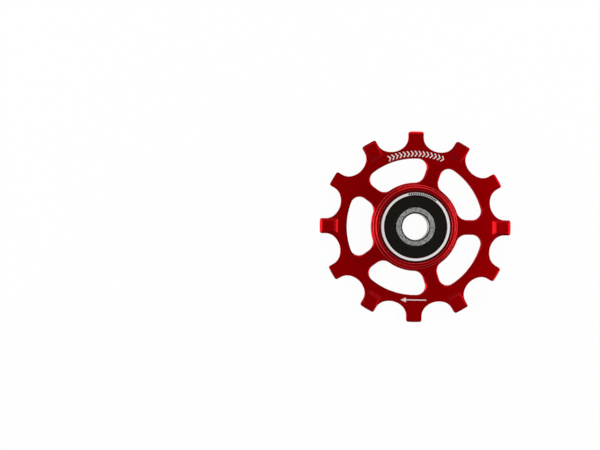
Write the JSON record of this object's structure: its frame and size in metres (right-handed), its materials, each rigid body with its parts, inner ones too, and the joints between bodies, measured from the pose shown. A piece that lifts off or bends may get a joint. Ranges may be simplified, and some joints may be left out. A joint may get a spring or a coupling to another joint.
{
  "type": "derailleur jockey wheel",
  "caption": "Narrow-wide jockey wheel of a bicycle's rear derailleur: red toothed disc with windows and a raised hub, turning on a sealed ball bearing.",
  "frame": {"origin": "centre of the bearing, on the axle line and half way through the wheel", "axes": "+Z along the axle towards the marked face, +X out through a spoke and a wide tooth"},
  "size_m": [0.0506, 0.0506, 0.006],
  "materials": {
    "red_anodised": "satin anodised",
    "ring_steel": "ground",
    "ball_steel": "polished",
    "cage_steel": "pressed",
    "seal_rubber": "matte",
    "white_ink": "printed"
  },
  "bodies": {
    "inner_ring": {"bearing_inner_ring": "ring_steel"},
    "wheel": {"pulley_wheel": "red_anodised", "bearing_outer_ring": "ring_steel", "seal_front": "seal_rubber", "seal_back": "seal_rubber"},
    "cage": {"cage_half_front": "cage_steel", "cage_half_back": "cage_steel", "cage_rivet_1": "cage_steel", "cage_rivet_2": "cage_steel", "cage_rivet_3": "cage_steel", "cage_rivet_4": "cage_steel", "cage_rivet_5": "cage_steel", "cage_rivet_6": "cage_steel", "cage_rivet_7": "cage_steel"},
    "rolling_ball_1": {"ball_1": "ball_steel"},
    "rolling_ball_2": {"ball_2": "ball_steel"},
    "rolling_ball_3": {"ball_3": "ball_steel"},
    "rolling_ball_4": {"ball_4": "ball_steel"},
    "rolling_ball_5": {"ball_5": "ball_steel"},
    "rolling_ball_6": {"ball_6": "ball_steel"},
    "rolling_ball_7": {"ball_7": "ball_steel"}
  },
  "joints": [
    {"name": "wheel_spin", "type": "hinge", "parent": "inner_ring", "child": "wheel", "pos_m": [0, 0, 0], "axis": [0, 0, 1], "continuous": true},
    {"name": "cage_spin", "type": "hinge", "parent": "inner_ring", "child": "cage", "pos_m": [0, 0, 0], "axis": [0, 0, 1], "continuous": true},
    {"name": "ball_1_spin", "type": "hinge", "parent": "cage", "child": "rolling_ball_1", "pos_m": [0.0065, 0, 0], "axis": [0, 0, 1], "continuous": true},
    {"name": "ball_2_spin", "type": "hinge", "parent": "cage", "child": "rolling_ball_2", "pos_m": [0.00405, 0.00508, 0], "axis": [0, 0, 1], "continuous": true},
    {"name": "ball_3_spin", "type": "hinge", "parent": "cage", "child": "rolling_ball_3", "pos_m": [-0.00145, 0.00634, 0], "axis": [0, 0, 1], "continuous": true},
    {"name": "ball_4_spin", "type": "hinge", "parent": "cage", "child": "rolling_ball_4", "pos_m": [-0.00586, 0.00282, 0], "axis": [0, 0, 1], "continuous": true},
    {"name": "ball_5_spin", "type": "hinge", "parent": "cage", "child": "rolling_ball_5", "pos_m": [-0.00586, -0.00282, 0], "axis": [0, 0, 1], "continuous": true},
    {"name": "ball_6_spin", "type": "hinge", "parent": "cage", "child": "rolling_ball_6", "pos_m": [-0.00145, -0.00634, 0], "axis": [0, 0, 1], "continuous": true},
    {"name": "ball_7_spin", "type": "hinge", "parent": "cage", "child": "rolling_ball_7", "pos_m": [0.00405, -0.00508, 0], "axis": [0, 0, 1], "continuous": true}
  ],
  "couplings": [
    {"joint": "cage_spin", "follows": "wheel_spin", "ratio": 0.63462},
    {"joint": "ball_1_spin", "follows": "wheel_spin", "ratio": 1.7225},
    {"joint": "ball_2_spin", "follows": "wheel_spin", "ratio": 1.7225},
    {"joint": "ball_3_spin", "follows": "wheel_spin", "ratio": 1.7225},
    {"joint": "ball_4_spin", "follows": "wheel_spin", "ratio": 1.7225},
    {"joint": "ball_5_spin", "follows": "wheel_spin", "ratio": 1.7225},
    {"joint": "ball_6_spin", "follows": "wheel_spin", "ratio": 1.7225},
    {"joint": "ball_7_spin", "follows": "wheel_spin", "ratio": 1.7225}
  ]
}
